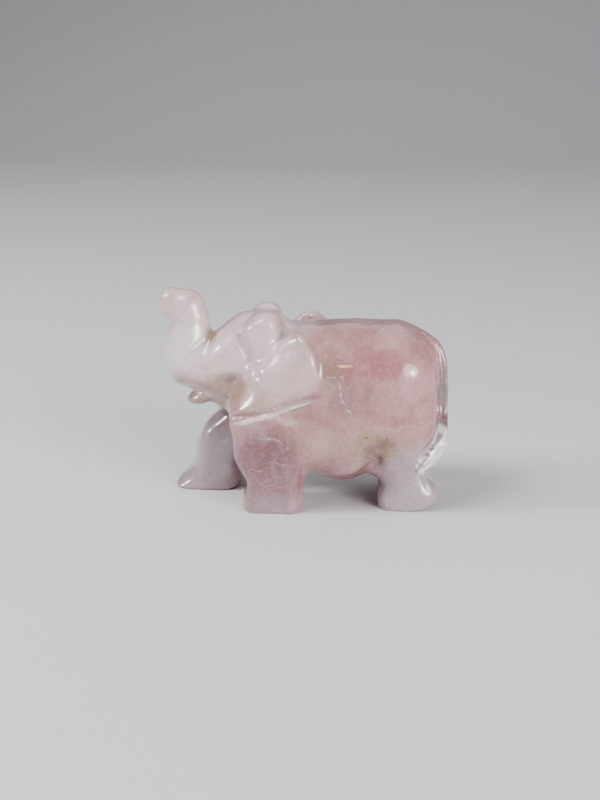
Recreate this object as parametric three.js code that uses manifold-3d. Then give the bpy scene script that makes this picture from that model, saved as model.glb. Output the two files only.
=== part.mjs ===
// A small elephant with a raised trunk, carved from one block of rose quartz.
// Millimetres, +Z up, the head towards -X, the elephant's left side towards -Y, standing on z = 0.
//
// The carving is worked as a stone carver works: each form is sawn from the side as an outline in the XZ
// plane, its edges are rounded over, neighbouring forms run into each other, and creases are ground in.
// Every form is a field that is below zero inside the stone, in millimetres near the surface, and the
// stone's skin is where the joined field is zero.
import * as THREE from "three";
import { mergeVertices } from "three/addons/utils/BufferGeometryUtils.js";
import Module from "manifold-3d";

// Sizes that set the whole carving
const carvingLength = 78.3; // from the trunk's tip to the rump
const bodyHalfWidth = 16.5; // of the barrel, at the flanks
const headHalfWidth = 9.5;
const jawHalfWidth = 5.5;
const frontLegsProud = 0.5; // how far the front legs stand out past the flanks
const hindLegsHalfWidth = 13;
const legGap = 2.4; // slot between the left and right legs
const slotMiddleY = -1; // the slot is sawn a little left of the middle
const earThickness = 4.4;
const earProud = 1.1; // how far the ears stand out past the flanks
const templeProud = 1.9; // how far the temples stand out past the head
const tailProud = 1.8; // how far the tail stands out from the rump
const keelHalfWidth = 8.5; // of the belly below the flanks
const creaseDepth = 1;
const mouthDepth = 1.8; // of the hollows below the cheeks
const templeWidth = 10; // of each temple, across the elephant
const legFillet = 2.5; // where the legs grow out of the body
const neckFillet = 2;
const trunkFillet = 1.4;
const templeFillet = 1.6;
const smallFillet = 1; // at the jaw, the mouth, the ears and the tail

// How fine the faceted skin is, in millimetres
const headCell = 1.6;
const bodyCell = 2.6;
const curveSteps = 5; // straight pieces between two points of an outline

// Outlines, and the rounding of their edges, are drawn in squares, 78.3 of them to the carving's length
const square = carvingLength / 78.3;
const trunkTipX = -38.9 * square; // the flat end of the trunk

const { clamp, lerp, smoothstep } = THREE.MathUtils;

const smoothCurve = (points, closed) =>
  new THREE.CatmullRomCurve3(
    points.map(([x, z]) => new THREE.Vector3(x * square, 0, z * square)), closed, "centripetal",
  ).getPoints((points.length - (closed ? 0 : 1)) * curveSteps);

function distanceToPiece(x, z, a, b) {
  const ex = b.x - a.x;
  const ez = b.z - a.z;
  const along = clamp(((x - a.x) * ex + (z - a.z) * ez) / (ex * ex + ez * ez), 0, 1);
  return Math.hypot(x - a.x - ex * along, z - a.z - ez * along);
}

// Distance from a closed outline, below zero inside
function outlineDistance(corners, x, z) {
  let nearest = Infinity;
  let inside = false;
  for (let i = 1; i < corners.length; i++) {
    const a = corners[i];
    const b = corners[i - 1];
    nearest = Math.min(nearest, distanceToPiece(x, z, a, b));
    if (a.z > z !== b.z > z && x < a.x + ((b.x - a.x) * (z - a.z)) / (b.z - a.z)) inside = !inside;
  }
  return inside ? -nearest : nearest;
}

// The union of two forms, and a cut, with a fillet of about this radius
function blend(a, b, fillet) {
  const share = Math.max(fillet - Math.abs(a - b), 0) / fillet;
  return Math.min(a, b) - (share * share * fillet) / 4;
}
const cutAway = (form, tool, fillet) => -blend(-form, tool, fillet);

// A sawn outline with its edges rounded over. Its faces stand at half to each side of middle, and the
// rounding reaches in from the outline by rim. A form takes a place seen from the side, and gives its
// distance there as a function of y.
function pillow({ outline, middle = () => 0, half, rim, fullness = 2 }) {
  const corners = smoothCurve(outline, true);
  const reach = rim * square;
  const scale = Math.min(reach, half);
  return (x, z) => {
    const fall = Math.max(0, 1 + outlineDistance(corners, x, z) / reach) ** fullness;
    const centre = middle(x, z);
    return (y) => ((fall + Math.abs((y - centre) / half) ** fullness) ** (1 / fullness) - 1) * scale;
  };
}

// A round limb along a line of [x, z, radius] points in the plane y = 0
function roundLimb(line, fillet) {
  const points = line.map(([x, z, radius]) => ({ x: x * square, z: z * square, radius: radius * square }));
  return (x, z) => {
    const near = points.slice(1).map((end, i) => {
      const start = points[i];
      const length = Math.hypot(end.x - start.x, end.z - start.z);
      const across = distanceToPiece(x, z, start, end);
      const along = Math.sqrt(Math.max(Math.hypot(x - start.x, z - start.z) ** 2 - across ** 2, 0));
      return { across, radius: lerp(start.radius, end.radius, clamp(along / length, 0, 1)) };
    });
    return (y) =>
      near
        .map(({ across, radius }) => Math.hypot(across, y) - radius)
        .reduce((joined, distance) => blend(joined, distance, fillet));
  };
}

// A crease ground along a line, as a depth that is added to the field
function crease(line, width) {
  const points = smoothCurve(line, false);
  return (x, z) => {
    const beside = Math.min(...points.slice(1).map((point, i) => distanceToPiece(x, z, points[i], point)));
    return creaseDepth * Math.exp(-((beside / (width * square)) ** 2));
  };
}

// The same form on the left and on the right, where the right one may lie a little differently
const onBothSides = (form, placeOnRight = (x, z) => [x, z]) => (x, z) => {
  const left = form(x, z);
  const right = form(...placeOnRight(x, z));
  return (y) => Math.min(left(y), right(-y));
};

const barrel = pillow({
  outline: [
    [-19, 30], [-16.5, 40], [-9, 48], [4, 50], [21.6, 50.4], [27, 50], [32.6, 47.2], [36, 43],
    [37.3, 37], [37.6, 29], [37.3, 21], [36.6, 17], [33.4, 12.8], [26, 9.6], [19, 8.4], [11, 5.7],
    [2.5, 7.6], [-8, 10], [-17, 15], [-19.5, 22],
  ],
  half: bodyHalfWidth, rim: 14, fullness: 2.3,
});

// Stone ground away under the flanks, which leaves the belly as a keel
const undercuts = onBothSides(pillow({
  outline: [
    [0, 12], [7.5, 10.2], [13, 10.8], [17.4, 13.6], [21.4, 17.4], [23, 8], [20, -6], [2, -6], [-2, 6],
  ],
  middle: () => -bodyHalfWidth - keelHalfWidth, half: bodyHalfWidth, rim: 2,
}));

const frontLegsHalfWidth = bodyHalfWidth + frontLegsProud;

// A leg between two faces across the elephant, with the edges of its foot rounded
const leg = ({ from, to, rim, outline }) =>
  pillow({ outline, middle: () => (from + to) / 2, half: Math.abs(to - from) / 2, rim, fullness: 2.6 });
const slotLeftY = slotMiddleY - legGap / 2;
const slotRightY = slotMiddleY + legGap / 2;
const hindLegFront = [[18.9, 14.2], [19, 10.5], [21.2, 6.8], [20.4, 2.5], [22, -2]];
const legs = [
  leg({ // the left front leg stands upright
    from: -frontLegsHalfWidth, to: slotLeftY, rim: 5,
    outline: [
      [-19.4, 27], [-19.2, 19.8], [-18.2, 12.8], [-15.4, 7.4], [-16.4, 3], [-15.4, -2], [-0.6, -2], [0.2, 4],
      [0.3, 12], [0, 22], [-5, 31], [-14, 32],
    ],
  }),
  leg({ // the right one steps forward
    from: slotRightY, to: frontLegsHalfWidth, rim: 5,
    outline: [
      [-24.3, 22.7], [-29, 18.4], [-31.7, 12.5], [-32.4, 7.4], [-34.8, 3.7], [-37.6, 1], [-37.2, -2],
      [-21, -2], [-18.4, 3], [-17.5, 9], [-10, 20], [-14, 30],
    ],
  }),
  leg({
    from: -hindLegsHalfWidth, to: slotLeftY, rim: 7.5,
    outline: [
      ...hindLegFront, [30, -3], [34.8, -0.4], [37.1, 3.6], [36.7, 6], [34.9, 8.6], [33.8, 11],
      [34.6, 15], [35, 27], [27, 30], [20, 22],
    ],
  }),
  leg({ // the right one has a shorter heel
    from: slotRightY, to: hindLegsHalfWidth, rim: 7.5,
    outline: [
      ...hindLegFront, [30.5, -3], [34, -0.4], [35.4, 3.2], [34.8, 6], [33, 9.8], [33.8, 17],
      [35, 27], [27, 30], [20, 22],
    ],
  }),
];

const head = pillow({
  outline: [
    [-27, 45], [-23.4, 48], [-18.1, 52], [-13, 53], [-8, 52.6], [-4.5, 50], [-2, 43], [-4, 34], [-12, 29],
    [-20, 27], [-26, 29.5], [-31, 33], [-31, 40],
  ],
  half: headHalfWidth, rim: 9,
});

const jaw = pillow({
  outline: [
    [-31, 30.4], [-33, 27.7], [-31, 26.3], [-28.6, 26.3], [-26, 26.9], [-23.8, 25.5], [-21.5, 24.4],
    [-16, 23.5], [-13, 30], [-20, 34], [-27, 32.5],
  ],
  half: jawHalfWidth, rim: 3.5,
});

// Hollow below the cheek, which runs to the corner of the mouth
const mouthReach = 8 * square; // of the tool that grinds it, across the elephant
const mouthHollows = onBothSides(pillow({
  outline: [
    [-11.3, 38.3], [-17, 37.8], [-24, 37], [-27.4, 35.8], [-25, 32.2], [-20.5, 31.4], [-15, 33.4],
    [-12.6, 35.6],
  ],
  middle: () => -headHalfWidth - mouthReach / 2 + mouthDepth, half: mouthReach / 2, rim: 1.6,
}));

const trunk = roundLimb([
  [-41.5, 54.9, 3.8], [-36.5, 54.8, 3.8], [-32.4, 53.4, 4.8], [-31.35, 49.9, 4.7], [-31.75, 46, 5.7],
  [-32.1, 42, 6.6], [-31.2, 38, 7], [-27, 37.4, 7.3],
], smallFillet * 0.6);

const temples = onBothSides(
  pillow({
    outline: [
      [-16.4, 49.4], [-14.7, 52], [-12.4, 53.6], [-9.4, 54.2], [-6.8, 53.4], [-5.2, 51], [-5.3, 48],
      [-7.3, 44.4], [-9.5, 41], [-11.8, 38.6], [-14, 42], [-15.9, 45.6],
    ],
    middle: () => templeWidth / 2 - headHalfWidth - templeProud, half: templeWidth / 2, rim: 5,
  }),
  (x, z) => [x + 0.8 * square, z + 0.4 * square],
);

// The ears follow the flanks, and lean in towards their tops and towards the head
function earMiddle(x, z) {
  const [u, v] = [x / square, z / square];
  const alongFlank = 0.0075 * (u - 5) ** 2;
  const towardsTop = 0.1 * Math.max(v - 42, 0);
  const towardsHead = 0.35 * Math.max(-2 - u, 0) * smoothstep(v, 36, 44);
  const inwards = (alongFlank + towardsTop + towardsHead) * square;
  return earThickness / 2 - bodyHalfWidth - earProud + inwards;
}
const ears = onBothSides(
  pillow({
    outline: [
      [-8.6, 45], [-5.2, 48.4], [-1.3, 49.8], [1.6, 48.2], [3.7, 44.2], [5, 38.8], [4.6, 35.4], [0.2, 33],
      [-8.6, 30.2], [-17.6, 27.8], [-17.6, 29.6], [-12.6, 35.7], [-10.4, 40],
    ],
    middle: earMiddle, half: earThickness / 2, rim: 2,
  }),
  (x, z) => [(x - 2 * square) / 1.15, z - 0.8 * square],
);

const creaseBelowEar = crease([
  [-18.6, 26.8], [-14, 27.6], [-8.6, 29.1], [-3.2, 30.6], [0.8, 31.7], [4.4, 33.4],
], 1.8);
const creaseAtTrunkRoot = crease([[-27.8, 45.4], [-29.1, 44.1], [-32.5, 40.4]], 1.5);

// The tail lies on the rump, and its tuft is swept to the left. It is cut to two outlines, one seen from
// behind, [y, z], and one from the side.
const tailFromBehind = smoothCurve([
  [-1.4, 49.4], [-2.9, 45.5], [-3.6, 40], [-3.7, 30], [-4.4, 25.6], [-8, 22.2], [-11.4, 18], [-13.4, 13],
  [-13.2, 10.6], [-11, 11.2], [-6.5, 14.2], [0, 15], [3.8, 17], [4.4, 21], [3.8, 30], [3.6, 40],
  [2.9, 45.5], [1.4, 49.4],
], true);
const tailFromTheSide = smoothCurve([
  [31.6, 10.4], [33.6, 11.6], [35.6, 12.8], [37.3, 14.3], [40, 16.4], [46, 20], [46, 50], [32, 56], [26, 50],
  [31, 44], [34.5, 38], [36, 30], [36, 23], [35, 19], [33.4, 15.8], [31.4, 12.6],
], true);
function tail(x, y, z, body) {
  if (x < 25 * square) return Infinity;
  const proud = tailProud * smoothstep(50 - z / square, 0, 8);
  const outside = Math.max(outlineDistance(tailFromBehind, y, z), outlineDistance(tailFromTheSide, x, z));
  return cutAway(body - proud, -outside, smallFillet);
}

// The whole stone
function stone(x, z) {
  const at = (form) => form(x, z);
  const [barrelAt, undercutsAt, headAt, jawAt, hollowsAt, trunkAt, templesAt, earsAt] = [
    barrel, undercuts, head, jaw, mouthHollows, trunk, temples, ears,
  ].map(at);
  const legsAt = legs.map(at);
  const ground = Math.max(at(creaseBelowEar), at(creaseAtTrunkRoot));
  return (y) => {
    let body = cutAway(barrelAt(y), undercutsAt(y), smallFillet);
    for (const legAt of legsAt) body = blend(body, legAt(y), legFillet);
    let face = blend(headAt(y), trunkAt(y), trunkFillet);
    face = blend(face, templesAt(y), templeFillet);
    face = cutAway(face, hollowsAt(y), smallFillet);
    face = blend(face, jawAt(y), smallFillet);
    const joined = blend(blend(body, face, neckFillet), earsAt(y), smallFillet);
    return Math.min(joined + ground, tail(x, y, z, body));
  };
}

// Lines of a grid from one end to the other, whose spacing may vary
function gridLines(from, to, cellAt) {
  const lines = [from];
  while (lines.at(-1) < to) lines.push(lines.at(-1) + cellAt(lines.at(-1)));
  return lines;
}

// The grid is finer at the head, and keeps open cells all round the stone
const widest = Math.max(bodyHalfWidth + earProud, frontLegsHalfWidth, hindLegsHalfWidth);
const xs = gridLines(trunkTipX - 9 * square, 43 * square, (x) =>
  lerp(headCell, bodyCell, smoothstep(x / square, 2, 12)));
const ys = gridLines(-widest - 2 * headCell, widest + 2 * headCell, () => headCell * 1.15);
const zs = gridLines(-6 * square, 61 * square, (z) =>
  lerp(bodyCell, headCell, smoothstep(z / square, 20, 27)));
const index = (i, j, k) => (i * ys.length + j) * zs.length + k;
const cornerSteps = [0, 1, 2, 3, 4, 5, 6, 7].map((bits) => [bits & 1, (bits >> 1) & 1, (bits >> 2) & 1]);
const axes = [[1, 0, 0], [0, 1, 0], [0, 0, 1]];

function forEachCell(visit) {
  for (let i = 0; i + 1 < xs.length; i++)
    for (let j = 0; j + 1 < ys.length; j++)
      for (let k = 0; k + 1 < zs.length; k++) visit(i, j, k);
}

function sample(field) {
  const values = new Float64Array(xs.length * ys.length * zs.length);
  xs.forEach((x, i) => zs.forEach((z, k) => {
    const column = field(x, z);
    ys.forEach((y, j) => {
      values[index(i, j, k)] = column(y);
    });
  }));
  return values;
}

// Whether the corners of a cell that are stone, or those that are open, join along the cell's edges
function inOnePiece(isStone, wanted) {
  const chosen = isStone.flatMap((stoneHere, corner) => (stoneHere === wanted ? [corner] : []));
  const reached = new Set(chosen.slice(0, 1));
  for (const corner of reached)
    for (const bit of [1, 2, 4]) if (isStone[corner ^ bit] === wanted) reached.add(corner ^ bit);
  return reached.size === chosen.length;
}

// Where stone touches stone only at a corner or along an edge of the grid, the pinch is filled
function fillPinches(values) {
  let filled;
  do {
    filled = 0;
    forEachCell((i, j, k) => {
      const cell = cornerSteps.map(([a, b, c]) => index(i + a, j + b, k + c));
      const isStone = cell.map((corner) => values[corner] < 0);
      if (inOnePiece(isStone, true) && inOnePiece(isStone, false)) return;
      const [nearest] = cell.filter((corner) => values[corner] >= 0).sort((a, b) => values[a] - values[b]);
      values[nearest] = -1e-3;
      filled++;
    });
  } while (filled);
}

// The middle of the places where a cell's edges cross the skin, or nothing where none does
function middleOfCrossings(values, i, j, k) {
  const middle = new THREE.Vector3();
  let crossings = 0;
  for (const from of cornerSteps)
    for (const axis of axes) {
      const to = from.map((step, n) => step + axis[n]);
      if (Math.max(...to) > 1) continue;
      const start = values[index(i + from[0], j + from[1], k + from[2])];
      const end = values[index(i + to[0], j + to[1], k + to[2])];
      if (start < 0 === end < 0) continue;
      const share = start / (start - end);
      middle.x += lerp(xs[i + from[0]], xs[i + to[0]], share);
      middle.y += lerp(ys[j + from[1]], ys[j + to[1]], share);
      middle.z += lerp(zs[k + from[2]], zs[k + to[2]], share);
      crossings++;
    }
  return crossings ? middle.divideScalar(crossings) : null;
}

// Slides a vertex onto the skin along the field's slope, and keeps it in its cell
function ontoSkin(field, point, cell) {
  const step = 0.05;
  const value = (x, y, z) => field(x, z)(y);
  for (let round = 0; round < 3; round++) {
    const { x, y, z } = point;
    const here = value(x, y, z);
    const slope = new THREE.Vector3(
      value(x + step, y, z) - here,
      value(x, y + step, z) - here,
      value(x, y, z + step) - here,
    ).divideScalar(step);
    const moved = point.addScaledVector(slope, -here / Math.max(slope.lengthSq(), 0.2));
    cell.clampPoint(moved, point);
  }
  return point;
}

// The skin of a field as a net of quads, with one vertex in each grid cell that the skin passes through
function skinOf(field) {
  const values = sample(field);
  fillPinches(values);
  const positions = [];
  const vertexOf = new Map();
  forEachCell((i, j, k) => {
    const start = middleOfCrossings(values, i, j, k);
    if (!start) return;
    const low = new THREE.Vector3(xs[i], ys[j], zs[k]);
    const high = new THREE.Vector3(xs[i + 1], ys[j + 1], zs[k + 1]);
    const inside = new THREE.Box3(low, high).expandByScalar(-0.05); // so that no two vertices meet
    vertexOf.set(index(i, j, k), positions.length);
    positions.push(ontoSkin(field, start, inside));
  });

  const triangles = [];
  const addQuad = (a, b, c, d) => {
    const [pa, pb, pc, pd] = [a, b, c, d].map((vertex) => positions[vertex]);
    if (pa.distanceTo(pc) < pb.distanceTo(pd)) triangles.push(a, b, c, a, c, d);
    else triangles.push(b, c, d, b, d, a);
  };
  forEachCell((i, j, k) => axes.forEach((axis, n) => {
    const startsInStone = values[index(i, j, k)] < 0;
    const endsInStone = values[index(i + axis[0], j + axis[1], k + axis[2])] < 0;
    if (startsInStone === endsInStone) return;
    const u = axes[(n + 1) % 3];
    const v = axes[(n + 2) % 3];
    const aroundTheEdge = [[0, 0], [1, 0], [1, 1], [0, 1]].map(([p, q]) =>
      vertexOf.get(index(i - p * u[0] - q * v[0], j - p * u[1] - q * v[1], k - p * u[2] - q * v[2])));
    addQuad(...(startsInStone ? aroundTheEdge : aroundTheEdge.reverse()));
  }));
  const geometry = new THREE.BufferGeometry();
  const coordinates = positions.flatMap((position) => position.toArray());
  geometry.setAttribute("position", new THREE.Float32BufferAttribute(coordinates, 3));
  geometry.setIndex(triangles);
  return geometry;
}

const wasm = await Module();
wasm.setup();

function solidOf(geometry) {
  const bare = geometry.clone();
  bare.deleteAttribute("normal");
  bare.deleteAttribute("uv");
  const merged = mergeVertices(bare, 1e-4);
  return new wasm.Manifold(
    new wasm.Mesh({
      numProp: 3,
      vertProperties: merged.attributes.position.array,
      triVerts: new Uint32Array(merged.index.array),
    }),
  );
}

function geometryOf(solid) {
  const { vertProperties, triVerts } = solid.getMesh();
  const geometry = new THREE.BufferGeometry();
  geometry.setAttribute("position", new THREE.BufferAttribute(vertProperties, 3));
  geometry.setIndex(new THREE.BufferAttribute(triVerts, 1));
  return geometry;
}

// The soles and the trunk's end are sawn flat
const sawReach = carvingLength * 2;
const sawBlock = (x, z) => new THREE.BoxGeometry(sawReach, sawReach, sawReach).translate(x, 0, z);
const belowTheFloor = solidOf(sawBlock(0, -sawReach / 2));
const beyondTheTrunk = solidOf(sawBlock(trunkTipX - sawReach / 2, 0));
const carved = solidOf(skinOf(stone)).subtract(belowTheFloor).subtract(beyondTheTrunk);

const geometry = geometryOf(carved);
geometry.computeBoundingBox();
const { min, max } = geometry.boundingBox;

const roseQuartz = new THREE.MeshStandardMaterial({ color: 0xd8b3b6, roughness: 0.18, metalness: 0 });
const elephant = new THREE.Mesh(geometry, roseQuartz);
elephant.name = "elephant_carving";
elephant.position.set(-(min.x + max.x) / 2, -(min.y + max.y) / 2, -min.z);

const part = new THREE.Group();
part.add(elephant);
export default part;
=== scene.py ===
import math
import time

import bpy
import numpy as np
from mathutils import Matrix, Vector


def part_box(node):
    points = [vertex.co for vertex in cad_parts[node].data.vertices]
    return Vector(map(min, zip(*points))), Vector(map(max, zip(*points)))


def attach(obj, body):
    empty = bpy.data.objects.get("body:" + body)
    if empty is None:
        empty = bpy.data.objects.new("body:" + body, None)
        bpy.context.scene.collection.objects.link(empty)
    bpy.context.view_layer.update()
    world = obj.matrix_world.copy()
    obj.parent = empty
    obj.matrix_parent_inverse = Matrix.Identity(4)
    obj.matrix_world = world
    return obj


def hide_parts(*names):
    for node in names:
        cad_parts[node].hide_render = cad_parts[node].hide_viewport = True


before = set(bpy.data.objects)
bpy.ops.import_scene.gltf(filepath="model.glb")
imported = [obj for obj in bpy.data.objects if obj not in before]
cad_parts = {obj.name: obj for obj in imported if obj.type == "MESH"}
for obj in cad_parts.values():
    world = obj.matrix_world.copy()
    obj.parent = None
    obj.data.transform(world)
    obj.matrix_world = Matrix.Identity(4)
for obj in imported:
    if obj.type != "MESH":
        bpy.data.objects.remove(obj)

# A rose quartz elephant, ground from one block and polished by hand.
# The forms are laid out in millimetres, with the head towards -X, the elephant's left side towards -Y
# and the feet on z = 0. Blender's own units are metres.
mm = 0.001
startedAt = time.time()
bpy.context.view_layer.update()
blockLow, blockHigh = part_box("elephant_carving")


def report(words):
    print(f"[{time.time() - startedAt:5.1f} s] {words}")


# the camera stands where the picture was taken from
cameraSetup = {
    "lens": 56.9,            # mm, for a 36 mm sensor along the picture's long side
    "aim": (-1.7, 0, 27.6),
    "distance": 352,
    "turn": 4,               # degrees from square on, towards the tail
    "rise": 16.5,            # degrees above the table
}


def makeCamera(setup):
    turn, rise = math.radians(setup["turn"]), math.radians(setup["rise"])
    back = Vector((math.sin(turn) * math.cos(rise), -math.cos(turn) * math.cos(rise), math.sin(rise)))
    camera = bpy.data.objects.new("camera", bpy.data.cameras.new("camera"))
    camera.data.lens = setup["lens"]
    camera.data.sensor_width = 36
    camera.location = (Vector(setup["aim"]) + back * setup["distance"]) * mm
    camera.rotation_mode = "QUATERNION"
    camera.rotation_quaternion = (-back).to_track_quat("-Z", "Y")
    bpy.context.scene.collection.objects.link(camera)
    bpy.context.scene.camera = camera


makeCamera(cameraSetup)
report("camera in place")

# every form is worked out on one grid of points round the block
block = {
    "cell": 0.43,   # mm between grid points
    "curveSteps": 6,                       # straight pieces between two points of an outline
    "margin": 1.3,                         # mm of open air round the stone
    "relaxRounds": 2,                      # that take the grid's stair steps out of the skin
    "relaxShare": 0.4,
}


def gridLine(low, high):
    return np.arange(low / mm - block["margin"], high / mm + block["margin"], block["cell"])


xs = gridLine(blockLow.x, blockHigh.x)
ys = gridLine(blockLow.y, blockHigh.y)
zs = gridLine(blockLow.z, blockHigh.z)
gridX, gridY, gridZ = xs[:, None, None], ys[None, :, None], zs[None, None, :]
sideX, sideZ = np.meshgrid(xs, zs, indexing="ij")   # the block seen from the side
rearY, rearZ = np.meshgrid(ys, zs, indexing="ij")   # and from behind


def smoothStep(value, low, high):
    share = np.clip((value - low) / (high - low), 0, 1)
    return share * share * (3 - 2 * share)


def smoothCurve(points, closed):
    # a centripetal Catmull-Rom curve through the points
    points = [np.array(point, float) for point in points]
    if closed:
        points = [points[-1], *points, points[0], points[1]]
    else:
        points = [2 * points[0] - points[1], *points, 2 * points[-1] - points[-2]]
    share = (np.arange(block["curveSteps"]) / block["curveSteps"])[:, None]
    curve = []
    for before, start, end, after in zip(points, points[1:], points[2:], points[3:]):
        a, b, c = [np.linalg.norm(q - p) ** 0.5 for p, q in ((before, start), (start, end), (end, after))]
        leave = ((start - before) / a - (end - before) / (a + b) + (end - start) / b) * b
        arrive = ((end - start) / b - (after - start) / (b + c) + (after - end) / c) * b
        curve.append(
            start * (2 * share**3 - 3 * share**2 + 1) + leave * (share**3 - 2 * share**2 + share)
            + end * (3 * share**2 - 2 * share**3) + arrive * (share**3 - share**2)
        )
    curve.append(points[-2][None])
    return np.concatenate(curve)


def lineDistance(curve, u, v):
    nearest = np.full(u.shape, np.inf)
    for (startU, startV), (endU, endV) in zip(curve[:-1], curve[1:]):
        du, dv = endU - startU, endV - startV
        along = np.clip(((u - startU) * du + (v - startV) * dv) / (du * du + dv * dv), 0, 1)
        nearest = np.minimum(nearest, (u - startU - du * along) ** 2 + (v - startV - dv * along) ** 2)
    return np.sqrt(nearest)


def outlineDistance(outline, u, v):
    # below zero inside the outline
    curve = smoothCurve(outline, True)
    inside = np.zeros(u.shape, bool)
    for (startU, startV), (endU, endV) in zip(curve[:-1], curve[1:]):
        if startV != endV:
            crosses = (startV > v) != (endV > v)
            inside ^= crosses & (u < startU + (endU - startU) * (v - startV) / (endV - startV))
    return np.where(inside, -1, 1) * lineDistance(curve, u, v)


def blend(a, b, fillet):
    share = np.maximum(fillet - np.abs(a - b), 0) / fillet
    return np.minimum(a, b) - share * share * (fillet / 4)


def cutAway(stone, tool, fillet):
    return -blend(-stone, tool, fillet)


def pillow(shape, u=sideX, v=sideZ, mirrored=False):
    # an outline sawn through the block, with its edges rounded over by rim
    half, rim, fullness = shape["half"], shape["rim"], shape.get("fullness", 2)
    fall = np.maximum(0, 1 + outlineDistance(shape["outline"], u, v) / rim) ** fullness
    middle = shape.get("middle", 0)
    middle = middle(u, v) if callable(middle) else np.full(u.shape, float(middle))
    y = -gridY if mirrored else gridY
    across = np.abs((y - middle[:, None, :]) / half) ** fullness
    whole = (fall[:, None, :] + across).astype(np.float32) ** np.float32(1 / fullness)
    return (whole - 1) * np.float32(min(rim, half))


def bothSides(shape, rightX=sideX, rightZ=sideZ):
    return np.minimum(pillow(shape), pillow(shape, rightX, rightZ, mirrored=True))


# the body and the legs
bodyForm = {
    "halfWidth": 16.5,
    "rim": 14,
    "fullness": 2.3,         # 2 is round, more is boxier
    "keelHalfWidth": 8.5,    # of the belly, below the flanks
    "undercutRim": 2,
    "undercutFillet": 1,
    "outline": [
        (-19, 30), (-16.5, 40), (-9, 48), (4, 50), (21.6, 50.4), (27, 50), (32.6, 47.2), (36, 43),
        (37.3, 37), (37.6, 29), (37.3, 21), (36.6, 17), (33.4, 12.8), (26, 9.6), (19, 8.4), (11, 5.7),
        (2.5, 7.6), (-8, 10), (-17, 15), (-19.5, 22),
    ],
    "undercut": [
        (0, 12), (7.5, 10.2), (13, 10.8), (17.4, 13.6), (21.4, 17.4), (23, 8), (20, -6), (2, -6), (-2, 6),
    ],
}


def carveBody(form):
    barrel = pillow({**form, "half": form["halfWidth"]})
    undercuts = bothSides({
        "outline": form["undercut"], "half": form["halfWidth"], "rim": form["undercutRim"],
        "middle": -form["halfWidth"] - form["keelHalfWidth"],
    })
    return cutAway(barrel, undercuts, form["undercutFillet"])


legForms = {
    "frontHalfWidth": 17,    # to the outer faces of the front legs
    "hindHalfWidth": 13,
    "frontRim": 5,
    "hindRim": 7.5,
    "fullness": 2.6,
    "gap": 2.4,
    "slotY": -1,             # middle of the slot between left and right
    "fillet": 2.5,
    "leftFront": [
        (-19.4, 27), (-19.2, 19.8), (-18.2, 12.8), (-15.4, 7.4), (-16.4, 3), (-15.4, -2), (-0.6, -2),
        (0.2, 4), (0.3, 12), (0, 22), (-5, 31), (-14, 32),
    ],
    "rightFront": [          # steps forward
        (-24.3, 22.7), (-29, 18.4), (-31.7, 12.5), (-32.4, 7.4), (-34.8, 3.7), (-37.6, 1), (-37.2, -2),
        (-21, -2), (-18.4, 3), (-17.5, 9), (-10, 20), (-14, 30),
    ],
    "leftHind": [
        (18.9, 14.2), (19, 10.5), (21.2, 6.8), (20.4, 2.5), (22, -2), (30, -3), (34.8, -0.4), (37.1, 3.6),
        (36.7, 6), (34.9, 8.6), (33.8, 11), (34.6, 15), (35, 27), (27, 30), (20, 22),
    ],
    "rightHind": [           # has a shorter heel
        (18.9, 14.2), (19, 10.5), (21.2, 6.8), (20.4, 2.5), (22, -2), (30.5, -3), (34, -0.4), (35.4, 3.2),
        (34.8, 6), (33, 9.8), (33.8, 17), (35, 27), (27, 30), (20, 22),
    ],
}


def carveLegs(form, body):
    left, right = form["slotY"] - form["gap"] / 2, form["slotY"] + form["gap"] / 2
    for outline, start, end, rim in (
        ("leftFront", -form["frontHalfWidth"], left, form["frontRim"]),
        ("rightFront", right, form["frontHalfWidth"], form["frontRim"]),
        ("leftHind", -form["hindHalfWidth"], left, form["hindRim"]),
        ("rightHind", right, form["hindHalfWidth"], form["hindRim"]),
    ):
        leg = pillow({
            "outline": form[outline], "middle": (start + end) / 2, "half": (end - start) / 2,
            "rim": rim, "fullness": form["fullness"],
        })
        body = blend(body, leg, form["fillet"])
    return body


# the head, with the trunk raised
headForm = {
    "outline": [
        (-27, 45), (-23.4, 48), (-18.1, 52), (-13, 53), (-8, 52.6), (-4.5, 50), (-2, 43), (-4, 34),
        (-12, 29), (-20, 27), (-26, 29.5), (-31, 33), (-31, 40),
    ],
    "half": 9.5,
    "rim": 9,
    "neckFillet": 2,
}
jawForm = {
    "outline": [
        (-31, 30.4), (-33, 27.7), (-31, 26.3), (-28.6, 26.3), (-26, 26.9), (-23.8, 25.5), (-21.5, 24.4),
        (-16, 23.5), (-13, 30), (-20, 34), (-27, 32.5),
    ],
    "half": 5.5,
    "rim": 3.5,
    "fillet": 1,
}
mouthForm = {                # the hollow below each cheek
    "outline": [
        (-11.3, 38.3), (-17, 37.8), (-24, 37), (-27.4, 35.8), (-25, 32.2), (-20.5, 31.4), (-15, 33.4),
        (-12.6, 35.6),
    ],
    "middle": -11.9,
    "half": 4,
    "rim": 1.6,
    "fillet": 1.2,
}
templeForm = {
    "outline": [
        (-16.4, 49.4), (-14.7, 52), (-12.4, 53.6), (-9.4, 54.2), (-7.2, 53.4), (-6, 51), (-6.2, 48),
        (-7.6, 44.4), (-9.3, 41), (-11.6, 38), (-14, 41.6), (-15.9, 45.6),
    ],
    "middle": -6.4,
    "half": 5,
    "rim": 3,
    "fillet": 1,
    "rightAhead": 0.8,       # mm, of the right temple
    "rightBelow": 0.4,
}
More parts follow.
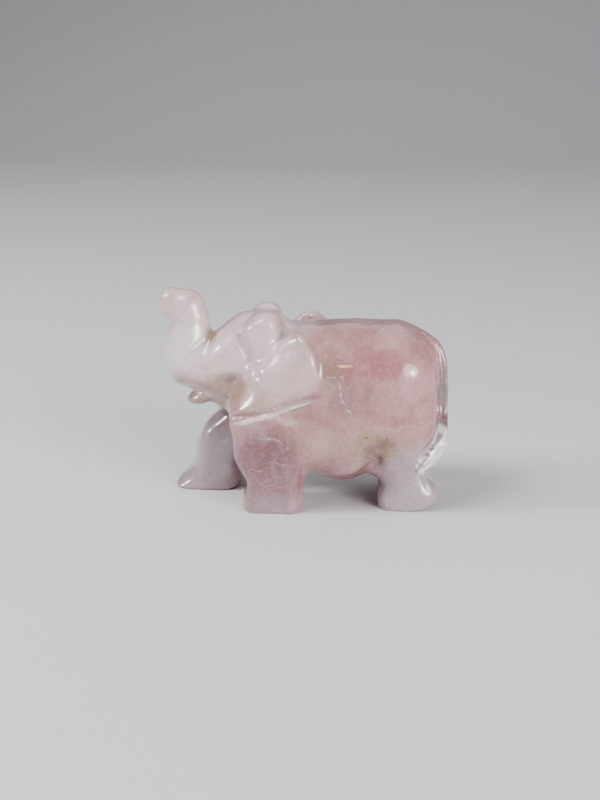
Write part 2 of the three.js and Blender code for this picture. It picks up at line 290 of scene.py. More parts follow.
trunkForm = {
    "tipX": -38.9,           # the flat end
    "fillet": 1.4,
    "jointFillet": 1.2,
    "line": [                # x, z and radius along its middle
        (-41.5, 54.9, 3.8), (-36.5, 54.8, 3.8), (-32.4, 53.4, 4.8), (-31.35, 49.9, 4.7), (-31.75, 46, 5.7),
        (-32.1, 42, 6.6), (-31.2, 38, 7), (-27, 37.4, 7.3),
    ],
}


def carveTrunk(form):
    trunk = None
    for (startX, startZ, startR), (endX, endZ, endR) in zip(form["line"][:-1], form["line"][1:]):
        dx, dz = endX - startX, endZ - startZ
        along = np.clip(((sideX - startX) * dx + (sideZ - startZ) * dz) / (dx * dx + dz * dz), 0, 1)
        across = (sideX - startX - dx * along) ** 2 + (sideZ - startZ - dz * along) ** 2
        radius = startR + (endR - startR) * along
        limb = (np.sqrt(across[:, None, :] + gridY * gridY) - radius[:, None, :]).astype(np.float32)
        trunk = limb if trunk is None else blend(trunk, limb, form["jointFillet"])
    return trunk


def carveHead():
    face = blend(pillow(headForm), carveTrunk(trunkForm), trunkForm["fillet"])
    temples = bothSides(templeForm, sideX + templeForm["rightAhead"], sideZ + templeForm["rightBelow"])
    face = blend(face, temples, templeForm["fillet"])
    face = cutAway(face, bothSides(mouthForm), mouthForm["fillet"])
    return blend(face, pillow(jawForm), jawForm["fillet"])


# the ears
earForm = {
    "outline": [
        (-7.8, 44.6), (-4.6, 48), (-1.2, 49.8), (1.7, 48.2), (3.7, 44.2), (5, 38.8), (4.6, 35.4),
        (0.2, 33), (-8.6, 30.2), (-17.6, 27.8), (-17.6, 29.6), (-12.6, 35.7), (-10.4, 40),
    ],
    "thickness": 4.4,
    "rim": 2,
    "proud": 1.1,            # of the flanks
    "flankMiddle": 5,        # x where the flanks are widest
    "flankBend": 0.0075,     # mm inwards for each square mm from there
    "leanFrom": 42,          # z above which the ears lean in
    "topLean": 0.1,
    "rightBreadth": 1.15,    # the right ear is broader, and further back and higher in mm
    "rightBehind": 2,
    "rightAbove": 0.8,
    "frontEdge": [           # z and x, where the ears grow out of the head
        (28, -19), (30, -17.6), (35.7, -12.6), (40, -10.4), (44.6, -7.8), (50, -4),
    ],
    "frontLean": 3.4,        # mm inwards at that edge
    "frontBreadth": 11,      # mm over which the lean ends behind it
    "fillet": 1,
    "frontFillet": 7,        # low down, where the ears run into the neck
    "neckX": (-10, -3),
    "neckZ": (39, 44),
}


def earMiddle(u, v):
    # the ears follow the flanks, and lean in towards their tops and towards the head
    alongFlank = earForm["flankBend"] * (u - earForm["flankMiddle"]) ** 2
    towardsTop = earForm["topLean"] * np.maximum(v - earForm["leanFrom"], 0)
    edgeZ, edgeX = zip(*earForm["frontEdge"])
    behindEdge = smoothStep(u - np.interp(v, edgeZ, edgeX), 0, earForm["frontBreadth"])
    towardsHead = earForm["frontLean"] * (1 - behindEdge)
    outerFace = bodyForm["halfWidth"] + earForm["proud"]
    return earForm["thickness"] / 2 - outerFace + alongFlank + towardsTop + towardsHead


def carveEars(form):
    ear = {**form, "middle": earMiddle, "half": form["thickness"] / 2}
    return bothSides(ear, (sideX - form["rightBehind"]) / form["rightBreadth"], sideZ - form["rightAbove"])


# the tail, with its tuft swept to the left
tailForm = {
    "proud": 1.8,
    "tuftProud": 1,          # of the hind leg
    "legReach": (8, 12),     # mm to the left, where the tuft comes onto the leg
    "top": 50,               # z where the tail starts
    "topReach": 8,           # mm over which it comes up to its height
    "fillet": 0.3,
    "tuftRoot": (-4, 26),    # y and z
    "tuftWay": (-0.574, -0.819),
    "tuftMiddle": (36, -9, 17),       # of the shade between the strands
    "tuftReach": (5, 8.333, 8.333),
    "strand": 1.7,           # mm across each strand of the tuft
    "strandDepth": 0.35,
    "strandStart": (-3, 3),  # mm along the tuft
    "outline": [             # y and z, seen from behind
        (-1.4, 49.4), (-2.9, 45.5), (-3.6, 40), (-3.7, 30), (-4.4, 25.6), (-8, 22.2), (-12, 18),
        (-14.4, 13.4), (-14.8, 9.8), (-11, 10.6), (-6.5, 14.2), (0, 15), (3.8, 17), (4.4, 21), (3.8, 30),
        (3.6, 40), (2.9, 45.5), (1.4, 49.4),
    ],
    "sideOutline": [         # x and z, seen from the side
        (30.9, 11.6), (33.6, 12), (35.6, 12.8), (37.3, 14.3), (40, 16.4), (46, 20), (46, 50), (32, 56),
        (26, 50), (31, 44), (34.5, 38), (36, 30), (36.6, 23.6), (35.9, 20), (34.2, 16.5), (32.2, 13.6),
    ],
}


def carveTail(form, body):
    onTheLeg = smoothStep(-gridY, *form["legReach"])
    proud = form["proud"] + (form["tuftProud"] - form["proud"]) * onTheLeg
    proud = proud * smoothStep(form["top"] - gridZ, 0, form["topReach"])
    (rootY, rootZ), (wayY, wayZ) = form["tuftRoot"], form["tuftWay"]
    along = (gridY - rootY) * wayY + (gridZ - rootZ) * wayZ
    across = (gridY - rootY) * wayZ - (gridZ - rootZ) * wayY
    strands = np.cos(across * 2 * math.pi / form["strand"]) * smoothStep(along, *form["strandStart"])
    tail = body - proud + form["strandDepth"] * strands
    tail = cutAway(tail, -outlineDistance(form["outline"], rearY, rearZ)[None], form["fillet"])
    return cutAway(tail, -outlineDistance(form["sideOutline"], sideX, sideZ)[:, None], form["fillet"])


# lines ground in with the edge of a wheel: side -1 is the left of the elephant, 1 the right, 0 both
grooves = [
    {"side": 0, "depth": 0.6, "width": 0.8, "line": [       # root of the trunk
        (-28.4, 44.8), (-29.6, 43.6), (-31, 42), (-32.8, 40.2),
    ]},
    {"side": 0, "depth": 0.75, "width": 0.7, "line": [      # in front of the temple
        (-17.2, 47.2), (-16.5, 45.3), (-15.8, 43.4), (-14.8, 41.8), (-13.4, 40.3), (-12, 39),
    ]},
    {"side": -1, "depth": 0.3, "width": 0.4, "line": [(-18.6, 44.6), (-17.6, 43.2), (-16.4, 42)]},
    {"side": 0, "depth": 0.3, "width": 0.45, "line": [      # closed eye
        (-22.9, 41.6), (-21.6, 40.9), (-20.2, 40.9), (-19.2, 41.8),
    ]},
    {"side": 0, "depth": 0.2, "width": 0.6, "line": [       # corner of the mouth
        (-16.4, 37.5), (-14, 38), (-11.6, 38.1), (-10.6, 37.4),
    ]},
    {"side": -1, "depth": 0.2, "width": 0.5, "line": [(-3.9, 45.4), (-4.4, 44), (-5.4, 41.6)]},
    {"side": -1, "depth": 0.2, "width": 0.5, "line": [(-1.8, 45.3), (-0.9, 44.2), (0.1, 42.4)]},
    {"side": -1, "depth": 0.4, "width": 0.5, "line": [      # beside the tail
        (33.4, 44.5), (35.2, 40.4), (36.3, 35), (36.8, 29), (36.6, 24.4),
    ]},
    {"side": -1, "depth": 0.15, "width": 0.5, "line": [(32.5, 10.6), (32.9, 9.2), (33.7, 7.4), (34.4, 6.2)]},
]


def grind(stone, groove):
    beside = lineDistance(smoothCurve(groove["line"], False), sideX, sideZ)
    cut = (groove["depth"] * np.exp(-((beside / groove["width"]) ** 2)))[:, None, :]
    if groove["side"]:
        cut = cut * smoothStep(groove["side"] * gridY, 0, 2)
    return stone + cut.astype(np.float32)


# the notch below each ear, with a steep upper face and a flat bank that catches the light
earNotch = {
    "line": [
        (-19.5, 26.4), (-18, 26.7), (-14.3, 27.8), (-10, 29.1), (-5.8, 30.3), (-1.5, 31.5), (1.6, 32.6),
        (4.3, 33.9), (6, 35.4),
    ],
    "depth": 1.2,
    "steep": 0.85,           # mm, reach of the upper face
    "bank": 1.4,             # mm, reach of the lower face
    "runIn": 2.5,            # mm over which it deepens in front
    "runOut": 5,             # and comes up again behind
    "frostAndHighlight": 0.7,         # share of white on the bank, partly frost left by the wheel and partly a painted highlight
    "bankWhitePoint": (-7, -16, 28.9),
    "bankWhiteWay": (-0.33, 0, 0.94),
    "bankWhiteAcross": (0.3, 0.8),  # mm across the bank, where the white is whole and where it ends
    "bankWhiteAlong": (8, 13),      # and the same along it
}


def notchBelowEars(stone, notch):
    curve = smoothCurve(notch["line"], False)
    below = np.interp(xs, curve[:, 0], curve[:, 1])[:, None] - zs[None, :]
    bank = np.clip(1 - below / notch["bank"], 0, 1)
    cut = np.where(below > 0, bank, np.exp(-((below / notch["steep"]) ** 2)))
    start, end = notch["line"][0][0], notch["line"][-1][0]
    ends = smoothStep(xs, start, start + notch["runIn"]) * (1 - smoothStep(xs, end - notch["runOut"], end))
    return stone + (notch["depth"] * cut * ends[:, None])[:, None, :].astype(np.float32)


pits = [                     # x, side of the elephant, z and radius of each natural pit
    (-20.9, -1, 30.4, 0.5),
    (-2.6, -1, 32.3, 0.36),
    (17.2, -1, 22.3, 0.4),
    (19.6, -1, 16.9, 0.45),
    (22.6, -1, 22, 0.36),
    (15.6, -1, 20.8, 0.3),
]


def pit(stone, x, side, z, radius):
    beside = (gridX - x) ** 2 + (gridZ - z) ** 2
    return stone + radius * np.exp(-beside / radius**2) * (side * gridY > 0)


# a surface polished by hand is never quite even
handPolish = {
    "waves": 14,
    "height": 0.022,         # mm of each wave
    "shortest": 4.5,         # mm
    "longest": 11,
    "seed": 7,
}


def handPolished(stone, polish):
    random = np.random.default_rng(polish["seed"])
    uneven = np.zeros(stone.shape, np.float32)
    for _ in range(polish["waves"]):
        way = random.normal(size=3)
        way *= 2 * math.pi / random.uniform(polish["shortest"], polish["longest"]) / np.linalg.norm(way)
        phase = random.uniform(0, 2 * math.pi)
        uneven += np.sin(way[0] * gridX + way[1] * gridY + way[2] * gridZ + phase).astype(np.float32)
    return stone + uneven * np.float32(polish["height"])


# the skin: one vertex in each grid cell that the surface passes through
cornerSteps = [(0, 0, 0), (1, 0, 0), (0, 1, 0), (1, 1, 0), (0, 0, 1), (1, 0, 1), (0, 1, 1), (1, 1, 1)]


def cornerOf(values, step):
    return values[tuple(slice(s, size - 1 + s) for s, size in zip(step, values.shape))]


def joinsUp(corners):
    reached = set(corners[:1])
    while True:
        more = {corner ^ bit for corner in reached for bit in (1, 2, 4) if corner ^ bit in corners}
        if more <= reached:
            return len(reached) == len(corners)
        reached |= more


def pinchedPattern(pattern):
    solid = [corner for corner in range(8) if pattern >> corner & 1]
    return not (joinsUp(solid) and joinsUp([corner for corner in range(8) if corner not in solid]))


def fillPinches(values):
    # where stone meets stone only along an edge or at a corner of a cell, the cell is filled
    pinched = np.array([pinchedPattern(pattern) for pattern in range(256)])
    for _ in range(20):
        pattern = sum((cornerOf(values, step) < 0).astype(int) << n for n, step in enumerate(cornerSteps))
        cells = np.argwhere(pinched[pattern])
        if not len(cells):
            return
        for step in cornerSteps:
            place = tuple((cells + step).T)
            values[place] = np.minimum(values[place], -0.001)


def skinOf(values):
    fillPinches(values)
    solid = values < 0
    count = sum(cornerOf(solid, step).astype(int) for step in cornerSteps)
    mixed = (count > 0) & (count < 8)
    vertexOf = np.full(mixed.shape, -1)
    vertexOf[mixed] = np.arange(mixed.sum())
    cells = np.argwhere(mixed)
    places, crossings = np.zeros((len(cells), 3)), np.zeros(len(cells))
    lines = (xs, ys, zs)
    faces = []
    for axis in range(3):
        for step in cornerSteps:
            if step[axis]:
                continue
            start = cells + step
            end = start.copy()
            end[:, axis] += 1
            startValue, endValue = values[tuple(start.T)], values[tuple(end.T)]
            crossed = (startValue < 0) != (endValue < 0)
            share = np.where(crossed, startValue / np.where(crossed, startValue - endValue, 1), 0)
            for n in range(3):
                low, high = lines[n][start[:, n]], lines[n][end[:, n]]
                places[:, n] += np.where(crossed, low + (high - low) * share, 0)
            crossings += crossed
        ahead = np.roll(solid, -1, axis)
        edges = np.argwhere(solid != ahead)
        u, v = np.eye(3, dtype=int)[(axis + 1) % 3], np.eye(3, dtype=int)[(axis + 2) % 3]
        around = [vertexOf[tuple((edges - a * u - b * v).T)] for a, b in ((0, 0), (1, 0), (1, 1), (0, 1))]
        quads = np.stack(around, 1)
        outward = solid[tuple(edges.T)]
        faces.append(np.where(outward[:, None], quads, quads[:, ::-1]))
    return places / crossings[:, None], np.concatenate(faces)


def relax(places, faces, rounds, share):
    # each vertex moves that share of the way to the middle of its neighbours
    starts, ends = faces.ravel(), np.roll(faces, -1, 1).ravel()
    total = np.bincount(starts, minlength=len(places)) + np.bincount(ends, minlength=len(places))
    for _ in range(rounds):
        mean = np.stack([
            np.bincount(starts, places[ends, n], len(places))
            + np.bincount(ends, places[starts, n], len(places))
            for n in range(3)
        ], 1) / total[:, None]
        places = places + (mean - places) * share
    return places


body = carveLegs(legForms, carveBody(bodyForm))
stone = blend(body, carveHead(), headForm["neckFillet"])
lowInFront = (1 - smoothStep(gridX, *earForm["neckX"])) * (1 - smoothStep(gridZ, *earForm["neckZ"]))
earFillet = earForm["fillet"] + (earForm["frontFillet"] - earForm["fillet"]) * lowInFront
stone = blend(stone, carveEars(earForm), earFillet)
stone = notchBelowEars(stone, earNotch)
stone = np.minimum(stone, carveTail(tailForm, body))
for groove in grooves:
    stone = grind(stone, groove)
for place in pits:
    stone = pit(stone, *place)
stone = handPolished(stone, handPolish)
stone = np.maximum(stone, -gridZ)                                    # flat soles
stone = np.maximum(stone, trunkForm["tipX"] - gridX)                 # and a flat trunk tip
report("forms joined")

places, faces = skinOf(stone)
places = relax(places, faces, block["relaxRounds"], block["relaxShare"])
places[:, 0] += blockLow.x / mm - trunkForm["tipX"]
places[:, 0] = np.clip(places[:, 0], blockLow.x / mm, blockHigh.x / mm)
places[:, 2] = np.maximum(places[:, 2], 0)
mesh = bpy.data.meshes.new("elephant_stone")
mesh.vertices.add(len(places))
mesh.vertices.foreach_set("co", (places * mm).ravel())
mesh.loops.add(faces.size)
mesh.loops.foreach_set("vertex_index", faces.ravel())
mesh.polygons.add(len(faces))
mesh.polygons.foreach_set("loop_start", np.arange(len(faces)) * 4)
mesh.update(calc_edges=True)
mesh.validate()
mesh.shade_smooth()
elephant = bpy.data.objects.new("elephant_stone", mesh)
bpy.context.scene.collection.objects.link(elephant)
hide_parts("elephant_carving")
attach(elephant, "root")
report(f"stone of {len(faces) * 2} triangles")


def srgb(red, green, blue):
    return tuple(((c / 255 + 0.055) / 1.055) ** 2.4 for c in (red, green, blue)) + (1,)


# the colours of the stone, from the rosy body to the milky head and the iron stains in the groin, with
# painted shade in the mouth, under the jaw, under the belly and low on the legs, and a painted glint and
# highlight
quartzLook = {
    "rosy": srgb(154, 99, 103),
    "milky": srgb(174, 124, 127),
    "roughness": (0.26, 0.38),
    "polish": 1,             # share of a thin glossy coat over the softer gloss of the stone
    "polishRoughness": 0.07,
    "indexOfRefraction": 1.544,
    "warp": 3,               # mm, how far the edges of the patches wander
    "sheetWaves": 5,         # mm, how far veins and fractures wander
    "subsurface": 0.3,
    "depth": 0.002,          # m, how deep light goes in
    "depthByColour": (1, 0.55, 0.5),
    "strandShade": 0.75,     # strengths of the finer markings
    "veils": 0.16,
    "paleGrain": 0.1,
    "darkGrain": 0.12,
    "cracks": 0.2,
    "specks": 0.4,
    "pitShade": 0.9,
    "ripple": 0.06,          # heights in mm
    "scratches": 0.008,
    "pores": 0.03,
}
stoneColours = {
    "milk": srgb(212, 188, 188),
    "white": srgb(226, 214, 216),
    "blush": srgb(200, 150, 154),
    "rose": srgb(162, 96, 104),
    "plum": srgb(112, 62, 70),
    "mauve": srgb(126, 84, 90),
    "lavender": srgb(158, 144, 154),
    "grey": srgb(156, 142, 150),
    "slate": srgb(92, 82, 90),
    "cream": srgb(164, 134, 124),
    "beige": srgb(150, 118, 102),
    "brown": srgb(104, 70, 50),
    "olive": srgb(134, 114, 66),
    # painted glint: a yellow flash where a fracture inside catches the light
    "paintedGlint": srgb(255, 214, 160),
    "pit": srgb(60, 42, 36),
}
# colour, middle, reach along x, y and z, strength and softness of each patch
patches = [
    ("milk", (-21, 0, 46), (24, 30, 14), 0.92, 0.3),
    ("white", (-36, 0, 43), (8, 12, 10), 0.8, 0.5),
    ("milk", (-37, 0, 54), (9, 9, 8), 0.75, 0.3),
    ("milk", (2, 18, 47), (10, 8, 11), 0.85, 0.3),
    ("milk", (-5, -19, 41), (10, 7, 11), 0.65, 0.25),
    ("mauve", (9.5, -16, 38), (4.5, 6, 10), 0.3, 0.5),
    ("milk", (-10, -17, 33), (9, 6, 5), 0.6, 0.4),
    ("milk", (-30, 0, 29), (8, 12, 5), 0.7, 0.4),
    # the jaw's own milky beige, made darker as painted shade below the head
    ("beige", (-28, -4, 27), (8, 8, 3), 0.8, 0.5),
    ("blush", (1, -18, 35), (7, 4, 4), 0.35, 0.6),
    # painted shade in the hollow below the cheek
    ("beige", (-21, -9, 33.6), (9.5, 8, 3.8), 0.8, 0.35),
    ("cream", (-9, -17, 32), (9, 5, 4), 0.45, 0.6),
    # painted shade under the jaw
    ("beige", (-22, -6, 27), (8, 7, 3), 0.6, 0.5),
    ("cream", (-9, -16, 30), (10, 6, 2.6), 0.5, 0.5),
    ("olive", (-26.5, 0, 45.5), (2.4, 8, 2.4), 0.8, 0.6),
    # painted shade on the neck behind the temples
    ("beige", (-2, -8, 51), (5, 7, 3), 0.75, 0.6),
    ("beige", (8, -16, 42), (4, 6, 9), 0.7, 0.7),
    ("rose", (26, -16, 37), (15, 14, 12), 0.12, 0.6),
    ("mauve", (13, -16, 33), (8, 8, 7), 0.4, 0.6),
    ("cream", (10, -16, 20), (13, 10, 5), 0.6, 0.45),
    ("beige", (24, -14, 19), (11, 8, 5.6), 0.5, 0.45),
    # the near front leg's own deeper pink, darkened further down as painted shade
    ("mauve", (-9, -16, 13), (11, 9, 13), 0.9, 0.35),
    ("plum", (-9, -17, 17), (7, 5, 7), 0.8, 0.7),
    ("grey", (-8, -14, 2), (11, 6, 4), 0.5, 0.5),
    ("lavender", (-28, 9, 10), (14, 14, 19), 0.92, 0.35),
    ("grey", (30, -10, 7), (12.5, 11, 13), 0.88, 0.35),
    ("lavender", (29, -13, 3), (8, 5, 4), 0.5, 0.5),
    ("slate", (38.8, -3, 33), (2.4, 9, 18), 0.8, 0.3),
    ("white", (37.5, -8, 17), (3.2, 7, 7), 0.9, 0.2),
    ("white", (33.6, -13, 13), (3.6, 5, 3.4), 0.9, 0.3),
    ("olive", (18, -16, 20.5), (5, 5, 4), 0.55, 0.7),
    ("beige", (20, -15, 18), (7, 6, 5), 0.5, 0.7),
    ("brown", (22, -15, 20), (3.4, 5, 2.6), 0.85, 0.9),
    ("brown", (20, -15, 16.5), (3, 5, 4.2), 0.9, 0.9),
    # painted shade below the flanks and under the belly
    ("mauve", (12, -13, 11), (15, 9, 6), 0.45, 0.6),
    ("plum", (11.5, -8, 6), (10.5, 12, 4.5), 0.95, 0.5),
    # painted glint where a fracture inside the flank catches the light
    ("paintedGlint", (11.4, -17, 41.8), (2, 3, 0.5), 0.8, 0.6),
]
# a point on each vein, the way it faces, its half thickness, its reach and strength
veins = [
    ("cream", (1, -16, 26), (0.28, 0, 0.96), 0.9, 9, 0.6),
    ("milk", (-7, -16, 27.8), (0.36, 0.1, 0.93), 1.2, 7, 0.4),
    ("milk", (28, -15, 25), (-0.06, 0.1, 1), 0.6, 11, 0.2),
]
# fractures that catch the light here and there, in the same order
fractures = [
    ("white", (11, -16, 33), (0.9, 0.2, 0.4), 0.5, 7, 0.45),
    ("white", (24, -16, 36), (0.95, 0.1, 0.2), 0.5, 7, 0.25),
    ("white", (8, -16, 39), (0.2, 0.1, 0.97), 0.3, 5, 0.35),
    ("white", (-7, -17, 21), (0.5, 0.1, 0.86), 0.35, 6, 0.45),
    ("white", (2, -17, 19), (0.84, 0, -0.5), 0.35, 4, 0.5),
    ("white", (-6, -17, 15), (0.3, 0, 0.95), 0.35, 5, 0.4),
    ("white", (-7, -17, 8), (0.1, 0, 0.99), 0.3, 5, 0.35),
]


class NodeSheet:
    # a few lines that keep long node trees short to write
    def __init__(self, material):
        self.tree = material.node_tree
        self.column = 0

    def add(self, kind, inputs=(), **settings):
        node = self.tree.nodes.new(kind)
        self.column += 1
        node.location = (-2600 + 170 * (self.column % 14), 900 - 200 * (self.column // 14))
        for name, value in settings.items():
            setattr(node, name, value)
        for name, value in dict(inputs).items():
            if isinstance(value, bpy.types.NodeSocket):
                self.tree.links.new(value, node.inputs[name])
            else:
                node.inputs[name].default_value = value
        return node.outputs[0]

    def math(self, operation, a, b=0.0):
        return self.add("ShaderNodeMath", {0: a, 1: b}, operation=operation)

    def vector(self, operation, a, b):
        return self.add("ShaderNodeVectorMath", {0: a, 1: b}, operation=operation)

    def length(self, vector):
        node = self.add("ShaderNodeVectorMath", {0: vector}, operation="LENGTH").node
        return node.outputs["Value"]

    def dot(self, a, b):
        node = self.add("ShaderNodeVectorMath", {0: a, 1: b}, operation="DOT_PRODUCT").node
        return node.outputs["Value"]

    def away(self, place, middle, reach):
        # 0 at the middle, 1 at the reach
        away = self.vector("SUBTRACT", place, middle)
        return self.length(self.vector("MULTIPLY", away, tuple(1 / r for r in reach)))

    def noise(self, place, scale, detail=3.0, distortion=0.0):
        return self.add("ShaderNodeTexNoise", {
            "Vector": place, "Scale": scale, "Detail": detail, "Distortion": distortion,
        })

    def fade(self, value, whole, none, strength=1.0):
        # strength at whole, nothing at none
        return self.add("ShaderNodeMapRange", {
            "Value": value, "From Min": whole, "From Max": none, "To Min": strength, "To Max": 0.0,
        }, interpolation_type="SMOOTHSTEP")

    def mix(self, share, first, second):
        node = self.tree.nodes.new("ShaderNodeMix")
        node.data_type = "RGBA"
        for name, value in (("Factor_Float", share), ("A_Color", first), ("B_Color", second)):
            socket = next(s for s in node.inputs if s.identifier == name)
            if isinstance(value, bpy.types.NodeSocket):
                self.tree.links.new(value, socket)
            else:
                socket.default_value = value
        return next(s for s in node.outputs if s.identifier == "Result_Color")


def roseQuartz():
    material = bpy.data.materials.new("rose_quartz")
    material.use_nodes = True
    sheet = NodeSheet(material)
    shader = material.node_tree.nodes["Principled BSDF"]
    coordinates = sheet.add("ShaderNodeTexCoord").node.outputs["Object"]
    place = sheet.vector("MULTIPLY", coordinates, (1 / mm, 1 / mm, 1 / mm))
    drift = sheet.noise(place, 0.11).node.outputs["Color"]
    drift = sheet.vector("SUBTRACT", drift, (0.5, 0.5, 0.5))
    reach = quartzLook["warp"]
    wandering = sheet.vector("ADD", place, sheet.vector("MULTIPLY", drift, (2 * reach,) * 3))

    cloud = sheet.noise(wandering, 0.09, 4.0, 0.4)
    colour = sheet.mix(sheet.fade(cloud, 0.36, 0.62), quartzLook["milky"], quartzLook["rosy"])
    for name, middle, size, strength, softness in patches:
        away = sheet.away(wandering, middle, size)
        share = sheet.fade(away, 1 - softness, 1 + softness / 2, strength)
        colour = sheet.mix(share, colour, stoneColours[name])

    broken = sheet.fade(sheet.noise(place, 1.1, 6.0), 0.6, 0.42)
    unbroken = 1.0
    sheets = [(vein, unbroken) for vein in veins] + [(fracture, broken) for fracture in fractures]
    waves = sheet.math("SUBTRACT", sheet.noise(place, 0.2), 0.5)
    waves = sheet.math("MULTIPLY", waves, quartzLook["sheetWaves"])
    for (name, point, way, half, size, strength), showing in sheets:
        away = sheet.vector("SUBTRACT", place, point)
        across = sheet.math("ADD", sheet.dot(away, Vector(way).normalized()), waves)
        line = sheet.fade(sheet.math("ABSOLUTE", across), 0.0, half, strength)
        near = sheet.fade(sheet.length(away), size * 0.5, size)
        share = sheet.math("MULTIPLY", sheet.math("MULTIPLY", line, near), showing)
        colour = sheet.mix(share, colour, stoneColours[name])

    # painted shade, slate grey, in the grooves between the strands of the tuft
    wayY, wayZ = tailForm["tuftWay"]
    across = sheet.dot(sheet.vector("SUBTRACT", place, (0, *tailForm["tuftRoot"])), (0, wayZ, -wayY))
    between = sheet.math("COSINE", sheet.math("MULTIPLY", across, 2 * math.pi / tailForm["strand"]))
    between = sheet.fade(between, 0.9, 0.1, quartzLook["strandShade"])
    onTuft = sheet.fade(sheet.away(place, tailForm["tuftMiddle"], tailForm["tuftReach"]), 0.8, 1.1)
    colour = sheet.mix(sheet.math("MULTIPLY", between, onTuft), colour, stoneColours["slate"])

    # the bank of the notch below the ear is painted whiter: partly frost left by the wheel, partly a painted
    # highlight
    away = sheet.vector("SUBTRACT", place, earNotch["bankWhitePoint"])
    bank = sheet.math("ABSOLUTE", sheet.dot(away, Vector(earNotch["bankWhiteWay"]).normalized()))
    bank = sheet.fade(bank, *earNotch["bankWhiteAcross"], earNotch["frostAndHighlight"])
    bank = sheet.math("MULTIPLY", bank, sheet.fade(sheet.length(away), *earNotch["bankWhiteAlong"]))
    colour = sheet.mix(bank, colour, stoneColours["white"])

    # cloudy grains and healed cracks inside the stone
    veils = sheet.noise(sheet.vector("MULTIPLY", wandering, (0.3, 0.3, 0.1)), 1.0, 5.0, 0.6)
    colour = sheet.mix(sheet.fade(veils, 0.75, 0.45, quartzLook["veils"]), colour, stoneColours["milk"])
    grain = sheet.noise(place, 0.9, 6.0, 0.1)
    colour = sheet.mix(sheet.fade(grain, 0.75, 0.45, quartzLook["paleGrain"]), colour, stoneColours["white"])
    colour = sheet.mix(sheet.fade(grain, 0.25, 0.55, quartzLook["darkGrain"]), colour, stoneColours["plum"])
    cracks = sheet.add(
        "ShaderNodeTexVoronoi", {"Vector": wandering, "Scale": 0.16}, feature="DISTANCE_TO_EDGE",
    )
    cracks = sheet.fade(cracks, 0.0, 0.02, quartzLook["cracks"])
    here = sheet.fade(sheet.noise(place, 0.12, 2.0), 0.62, 0.52)
    colour = sheet.mix(sheet.math("MULTIPLY", cracks, here), colour, stoneColours["white"])
    specks = sheet.add("ShaderNodeTexVoronoi", {"Vector": place, "Scale": 0.9})
    here = sheet.fade(sheet.noise(place, 0.2, 2.0), 0.66, 0.58)
    speckled = sheet.math("MULTIPLY", sheet.fade(specks, 0.1, 0.2, quartzLook["specks"]), here)
    colour = sheet.mix(speckled, colour, stoneColours["brown"])
    for x, side, z, radius in pits:
        away = sheet.away(place, (x, side * 12, z), (1, 20, 1))
        share = sheet.fade(away, radius * 0.5, radius * 1.2, quartzLook["pitShade"])
        colour = sheet.mix(share, colour, stoneColours["pit"])
    sheet.tree.links.new(colour, shader.inputs["Base Color"])

    # a glossy polish with finger marks, fine scratches and small open pores
    rub = sheet.noise(place, 0.35, 4.0)
    low, high = quartzLook["roughness"]
    rough = sheet.add("ShaderNodeMapRange", {
        "Value": rub, "From Min": 0.3, "From Max": 0.7, "To Min": low, "To Max": high,
    })
    sheet.tree.links.new(rough, shader.inputs["Roughness"])
    ripple = sheet.math("MULTIPLY", sheet.noise(place, 0.55), quartzLook["ripple"])
    along = sheet.vector("MULTIPLY", place, (0.5, 3.0, 5.0))
    scratch = sheet.math("MULTIPLY", sheet.noise(along, 1.0, 2.0), quartzLook["scratches"])
    pores = sheet.math("MULTIPLY", sheet.fade(specks, 0.0, 0.12), -quartzLook["pores"])
    height = sheet.math("ADD", sheet.math("ADD", ripple, scratch), pores)
    bump = sheet.add("ShaderNodeBump", {"Height": height, "Distance": mm, "Strength": 1.0})
    sheet.tree.links.new(bump, shader.inputs["Normal"])
    shader.inputs["IOR"].default_value = quartzLook["indexOfRefraction"]
    shader.inputs["Coat Weight"].default_value = quartzLook["polish"]
    shader.inputs["Coat Roughness"].default_value = quartzLook["polishRoughness"]
    shader.inputs["Subsurface Weight"].default_value = quartzLook["subsurface"]
    shader.inputs["Subsurface Radius"].default_value = quartzLook["depthByColour"]
    shader.inputs["Subsurface Scale"].default_value = quartzLook["depth"]
    return material


mesh.materials.append(roseQuartz())
report("rose quartz mixed")

# a pale table that sweeps up behind, and soft light
table = {
    "front": -1.4,           # m
    "back": 0.9,
    "sweep": 0.7,            # radius of the bend
    "bendStep": 6,           # degrees
    "wall": 1.6,
    "halfWidth": 2.5,
    "colour": srgb(214, 214, 216),
    "roughness": 0.9,
}


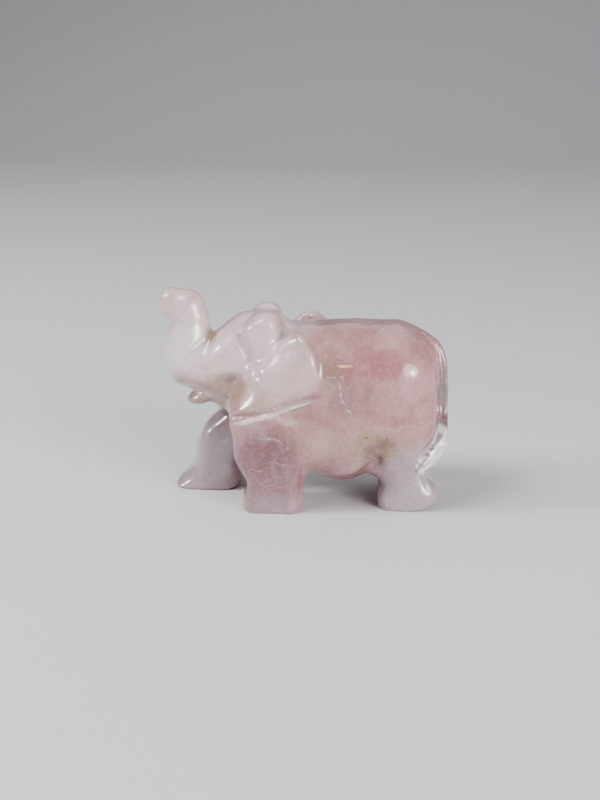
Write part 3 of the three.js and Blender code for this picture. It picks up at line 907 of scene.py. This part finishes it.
def makeTable(setup):
    bend = [math.radians(angle) for angle in range(0, 91, setup["bendStep"])]
    profile = [(setup["front"], 0)]
    profile += [
        (setup["back"] + setup["sweep"] * math.sin(a), setup["sweep"] * (1 - math.cos(a))) for a in bend
    ]
    profile.append((setup["back"] + setup["sweep"], setup["wall"]))
    corners = [(side * setup["halfWidth"], y, z) for y, z in profile for side in (-1, 1)]
    strips = [(n, n + 1, n + 3, n + 2) for n in range(0, len(corners) - 2, 2)]
    sheetMesh = bpy.data.meshes.new("table")
    sheetMesh.from_pydata(corners, [], strips)
    sheetMesh.shade_smooth()
    paper = bpy.data.materials.new("pale_paper")
    paper.use_nodes = True
    shader = paper.node_tree.nodes["Principled BSDF"]
    shader.inputs["Base Color"].default_value = setup["colour"]
    shader.inputs["Roughness"].default_value = setup["roughness"]
    sheetMesh.materials.append(paper)
    floor = bpy.data.objects.new("table", sheetMesh)
    bpy.context.scene.collection.objects.link(floor)


makeTable(table)

surroundings = {"colour": srgb(222, 224, 228), "strength": 0.17}
world = bpy.data.worlds.new("studio")
world.use_nodes = True
sky = world.node_tree.nodes["Background"]
sky.inputs["Color"].default_value = surroundings["colour"]
sky.inputs["Strength"].default_value = surroundings["strength"]
bpy.context.scene.world = world

lamps = {                    # place in mm, size in m, power in W
    "left": {"at": (-620, -120, 330), "size": 0.15, "power": 3},
    "right": {"at": (466, -484, 158), "size": 0.56, "power": 6},
    "window": {"at": (500, -465, 130), "size": 0.18, "power": 2.4},
    "front": {"at": (-315, -180, 588), "size": 0.32, "power": 3.4},
    "over": {"at": (-60, 420, 900), "size": 1.6, "power": 5},
}
lampAim = Vector((0, 0, 25))
for name, lamp in lamps.items():
    light = bpy.data.lights.new(name, "AREA")
    light.shape = "DISK"
    light.size = lamp["size"]
    light.energy = lamp["power"]
    holder = bpy.data.objects.new(name, light)
    holder.location = Vector(lamp["at"]) * mm
    holder.rotation_mode = "QUATERNION"
    holder.rotation_quaternion = (lampAim - Vector(lamp["at"])).to_track_quat("-Z", "Y")
    bpy.context.scene.collection.objects.link(holder)
report("table and lamps in place")
